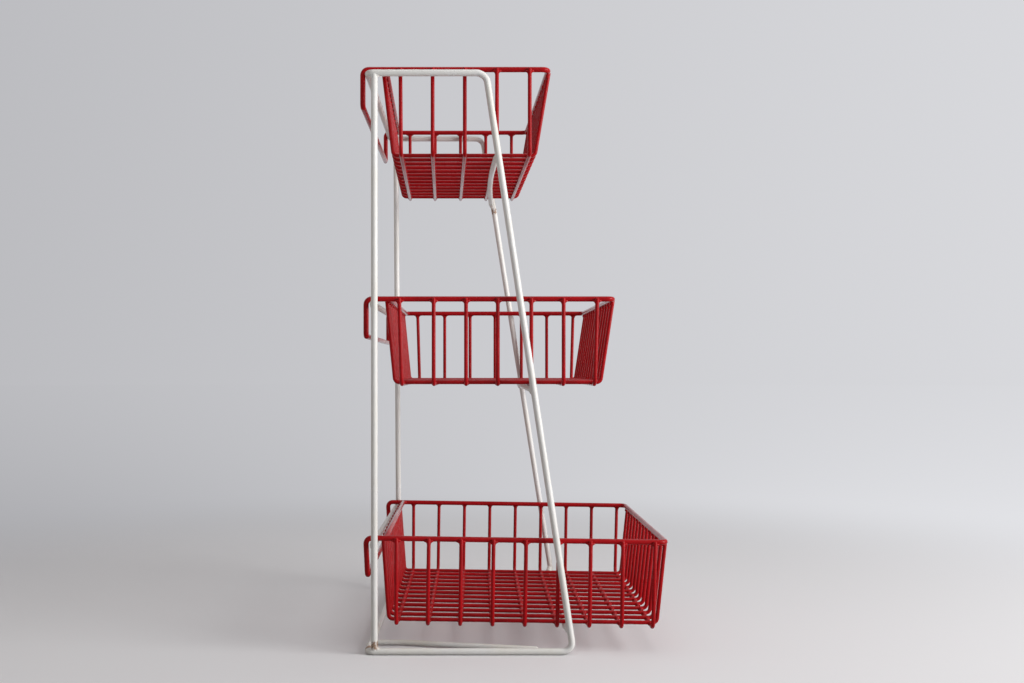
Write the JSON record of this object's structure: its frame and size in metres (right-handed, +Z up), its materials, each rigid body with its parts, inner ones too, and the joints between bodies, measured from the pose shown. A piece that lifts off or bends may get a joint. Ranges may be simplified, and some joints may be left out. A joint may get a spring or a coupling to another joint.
{
  "type": "vegetable rack",
  "caption": "Free-standing tiered rack: a welded rod frame that carries lift-off coated wire baskets, each deeper than the one above.",
  "frame": {"origin": "middle of the rack's outline, on the floor that it stands on", "axes": "+Z up, -Y towards the rack's sloping front, X along its width"},
  "size_m": [0.351, 0.3252, 0.6132],
  "materials": {
    "cream_coat": "smooth satin cream coat",
    "red_coat": "thick glossy dark red coat"
  },
  "bodies": {
    "frame": {"left_side_rod": "cream_coat", "right_side_rod": "cream_coat", "left_rear_leg": "cream_coat", "right_rear_leg": "cream_coat", "left_base_brace": "cream_coat", "right_base_brace": "cream_coat", "rear_top_bar": "cream_coat", "rear_base_bar": "cream_coat", "rear_middle_bar": "cream_coat", "rear_lower_bar": "cream_coat", "front_top_bar": "cream_coat", "front_middle_bar": "cream_coat", "front_bottom_bar": "cream_coat"},
    "top_basket": {"top_basket_rim": "red_coat", "top_basket_long_wires": "red_coat", "top_basket_cross_wire_1": "red_coat", "top_basket_cross_wire_2": "red_coat", "top_basket_cross_wire_3": "red_coat", "top_basket_cross_wire_4": "red_coat", "top_basket_cross_wire_5": "red_coat"},
    "middle_basket": {"middle_basket_rim": "red_coat", "middle_basket_long_wires": "red_coat", "middle_basket_cross_wire_1": "red_coat", "middle_basket_cross_wire_2": "red_coat", "middle_basket_cross_wire_3": "red_coat", "middle_basket_cross_wire_4": "red_coat", "middle_basket_cross_wire_5": "red_coat", "middle_basket_cross_wire_6": "red_coat", "middle_basket_cross_wire_7": "red_coat"},
    "bottom_basket": {"bottom_basket_rim": "red_coat", "bottom_basket_long_wires": "red_coat", "bottom_basket_cross_wire_1": "red_coat", "bottom_basket_cross_wire_2": "red_coat", "bottom_basket_cross_wire_3": "red_coat", "bottom_basket_cross_wire_4": "red_coat", "bottom_basket_cross_wire_5": "red_coat", "bottom_basket_cross_wire_6": "red_coat", "bottom_basket_cross_wire_7": "red_coat", "bottom_basket_cross_wire_8": "red_coat", "bottom_basket_cross_wire_9": "red_coat"}
  },
  "joints": [
    {"name": "top_basket_lift", "type": "slide", "parent": "frame", "child": "top_basket", "axis": [0, 0, 1], "range_m": [0, 0.12]},
    {"name": "middle_basket_lift", "type": "slide", "parent": "frame", "child": "middle_basket", "axis": [0, 0, 1], "range_m": [0, 0.12]},
    {"name": "bottom_basket_lift", "type": "slide", "parent": "frame", "child": "bottom_basket", "axis": [0, 0, 1], "range_m": [0, 0.12]}
  ]
}
